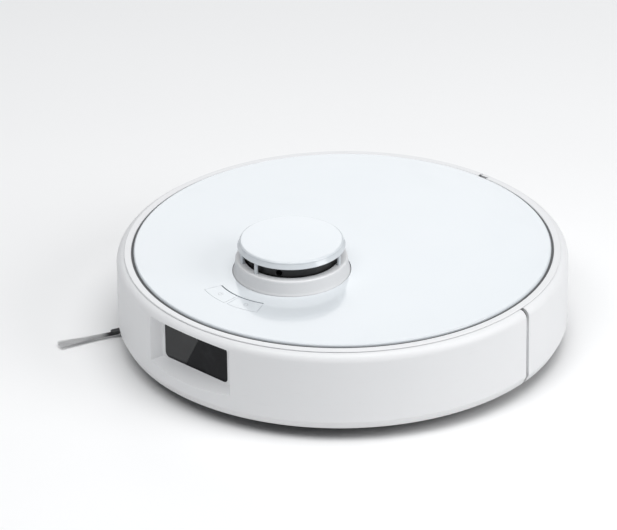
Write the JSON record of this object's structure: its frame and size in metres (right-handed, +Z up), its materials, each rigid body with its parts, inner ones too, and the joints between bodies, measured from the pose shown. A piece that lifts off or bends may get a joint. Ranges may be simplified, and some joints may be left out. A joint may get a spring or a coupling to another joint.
{
  "type": "robot vacuum",
  "caption": "Round robot vacuum and mop with lidar turret, sprung bumper with sensor window, lift-off cover, dust bin, side brush, drive wheels, caster and spinning mop pads.",
  "frame": {"origin": "on the floor under the centre of the round body", "axes": "+Z up; the robot's front, with the bumper and window, faces -Y; +X is the robot's left side"},
  "size_m": [0.35, 0.35, 0.1045],
  "materials": {
    "white_gloss": "glossy white moulded shell",
    "white_satin": "satin white moulded wall",
    "grey_plastic": "fine grained grey",
    "dark_plastic": "fine grained charcoal",
    "black_plastic": "satin black",
    "window_glass": "smoked, polished",
    "steel": "turned",
    "motor_can": "zinc plated",
    "battery_wrap": "shrink wrap over cells",
    "circuit_board": "solder mask",
    "contact_plate": "polished",
    "fin_rubber": "soft matt",
    "seal_rubber": "soft foam",
    "tyre_rubber": "ribbed",
    "bristle": "nylon bristles",
    "mop_cloth": "looped microfibre",
    "bin_plastic": "smoked",
    "tank_plastic": "translucent",
    "filter_paper": "pleated paper"
  },
  "bodies": {
    "chassis": {"base_tray": "dark_plastic", "rear_shell": "white_satin", "upper_deck": "grey_plastic", "top_ring": "white_satin", "cover_seal": "seal_rubber", "turret_base": "white_satin", "lidar_motor": "motor_can", "brush_housing": "dark_plastic", "brush_guard": "black_plastic", "brush_motor": "motor_can", "side_motor": "black_plastic", "battery": "battery_wrap", "battery_door": "dark_plastic", "main_board": "circuit_board", "key_switches": "black_plastic", "blower_housing": "dark_plastic", "blower_lid": "dark_plastic", "exhaust_duct": "dark_plastic", "water_tank": "tank_plastic", "water_pump": "black_plastic", "charge_contacts": "contact_plate", "cliff_sensors": "black_plastic", "sensor_module": "black_plastic", "bumper_switches": "black_plastic", "arm_pins": "steel", "case_screws": "steel"},
    "bumper": {"bumper_shell": "white_satin", "front_window": "window_glass"},
    "cover": {"top_cover": "white_gloss", "cover_magnets": "steel"},
    "power_button": {"power_key": "white_gloss"},
    "home_button": {"home_key": "white_gloss"},
    "dust_bin": {"bin_tub": "bin_plastic", "bin_filter": "filter_paper"},
    "dust_lid": {"bin_lid": "dark_plastic"},
    "turret_rotor": {"lidar_rotor": "black_plastic"},
    "turret_top": {"turret_cap": "white_gloss"},
    "main_brush": {"brush_core": "dark_plastic", "brush_fins": "fin_rubber"},
    "side_brush": {"side_hub": "dark_plastic", "side_bristles": "bristle"},
    "left_arm": {"arm_left": "dark_plastic"},
    "right_arm": {"arm_right": "dark_plastic"},
    "left_wheel": {"wheel_hub_left": "grey_plastic", "tyre_left": "tyre_rubber"},
    "right_wheel": {"wheel_hub_right": "grey_plastic", "tyre_right": "tyre_rubber"},
    "caster": {"caster_fork": "black_plastic", "caster_axle": "steel"},
    "caster_roller": {"caster_wheel": "grey_plastic"},
    "mop_carriage": {"mop_frame": "dark_plastic", "mop_drives": "black_plastic"},
    "left_mop": {"mop_plate_left": "grey_plastic", "mop_pad_left": "mop_cloth"},
    "right_mop": {"mop_plate_right": "grey_plastic", "mop_pad_right": "mop_cloth"},
    "fan": {"impeller": "motor_can"},
    "filler_plug": {"tank_plug": "grey_plastic"}
  },
  "joints": [
    {"name": "bumper_press", "type": "slide", "parent": "chassis", "child": "bumper", "axis": [0, 1, 0], "range_m": [0, 0.003], "stiffness_N_per_m": 400, "springref_m": -0.002},
    {"name": "cover_lift", "type": "slide", "parent": "chassis", "child": "cover", "axis": [0, 0, 1], "range_m": [0, 0.11]},
    {"name": "power_press", "type": "slide", "parent": "cover", "child": "power_button", "axis": [0, 0, -1], "range_m": [0, 0.0008], "stiffness_N_per_m": 500, "springref_m": -0.0008},
    {"name": "home_press", "type": "slide", "parent": "cover", "child": "home_button", "axis": [0, 0, -1], "range_m": [0, 0.0008], "stiffness_N_per_m": 500, "springref_m": -0.0008},
    {"name": "bin_lift", "type": "slide", "parent": "chassis", "child": "dust_bin", "axis": [0, 0, 1], "range_m": [0, 0.0495]},
    {"name": "bin_lid_swing", "type": "hinge", "parent": "dust_bin", "child": "dust_lid", "pos_m": [0, 0.0634, 0.0694], "axis": [-1, 0, 0], "range_deg": [0, 30]},
    {"name": "plug_lift", "type": "slide", "parent": "chassis", "child": "filler_plug", "axis": [0, 0, 1], "range_m": [0, 0.0165]},
    {"name": "turret_spin", "type": "hinge", "parent": "chassis", "child": "turret_rotor", "pos_m": [0, -0.057, 0.085], "axis": [0, 0, 1], "continuous": true},
    {"name": "turret_press", "type": "slide", "parent": "chassis", "child": "turret_top", "axis": [0, 0, -1], "range_m": [0, 0.0014], "stiffness_N_per_m": 1200, "springref_m": -0.001},
    {"name": "main_brush_spin", "type": "hinge", "parent": "chassis", "child": "main_brush", "pos_m": [0, -0.022, 0.021], "axis": [1, 0, 0], "continuous": true},
    {"name": "side_brush_spin", "type": "hinge", "parent": "chassis", "child": "side_brush", "pos_m": [-0.117, -0.104, 0.006], "axis": [0, 0, 1], "continuous": true},
    {"name": "left_arm_drop", "type": "hinge", "parent": "chassis", "child": "left_arm", "pos_m": [0.099, -0.042, 0.033], "axis": [-1, 0, 0], "range_deg": [0, 26], "stiffness_Nm_per_rad": 0.35, "springref_deg": 51.57},
    {"name": "right_arm_drop", "type": "hinge", "parent": "chassis", "child": "right_arm", "pos_m": [-0.099, -0.042, 0.033], "axis": [-1, 0, 0], "range_deg": [0, 26], "stiffness_Nm_per_rad": 0.35, "springref_deg": 51.57},
    {"name": "left_wheel_spin", "type": "hinge", "parent": "left_arm", "child": "left_wheel", "pos_m": [0.122, 0, 0.032], "axis": [1, 0, 0], "continuous": true},
    {"name": "right_wheel_spin", "type": "hinge", "parent": "right_arm", "child": "right_wheel", "pos_m": [-0.122, 0, 0.032], "axis": [1, 0, 0], "continuous": true},
    {"name": "caster_swivel", "type": "hinge", "parent": "chassis", "child": "caster", "pos_m": [0, -0.132, 0.02], "axis": [0, 0, 1], "continuous": true},
    {"name": "caster_roll", "type": "hinge", "parent": "caster", "child": "caster_roller", "pos_m": [0, -0.124, 0.012], "axis": [1, 0, 0], "continuous": true},
    {"name": "mop_lift", "type": "slide", "parent": "chassis", "child": "mop_carriage", "axis": [0, 0, 1], "range_m": [0, 0.008]},
    {"name": "left_mop_spin", "type": "hinge", "parent": "mop_carriage", "child": "left_mop", "pos_m": [0.064, 0.082, 0.008], "axis": [0, 0, 1], "continuous": true},
    {"name": "right_mop_spin", "type": "hinge", "parent": "mop_carriage", "child": "right_mop", "pos_m": [-0.064, 0.082, 0.008], "axis": [0, 0, 1], "continuous": true},
    {"name": "fan_spin", "type": "hinge", "parent": "chassis", "child": "fan", "pos_m": [0.068, 0.1, 0.055], "axis": [0, 0, 1], "continuous": true}
  ],
  "couplings": [
    {"joint": "bin_lift", "follows": "cover_lift", "ratio": 0.45},
    {"joint": "plug_lift", "follows": "cover_lift", "ratio": 0.15},
    {"joint": "bin_lid_swing", "follows": "cover_lift", "rad_per_m": 4.7},
    {"joint": "right_mop_spin", "follows": "left_mop_spin", "ratio": -1}
  ]
}
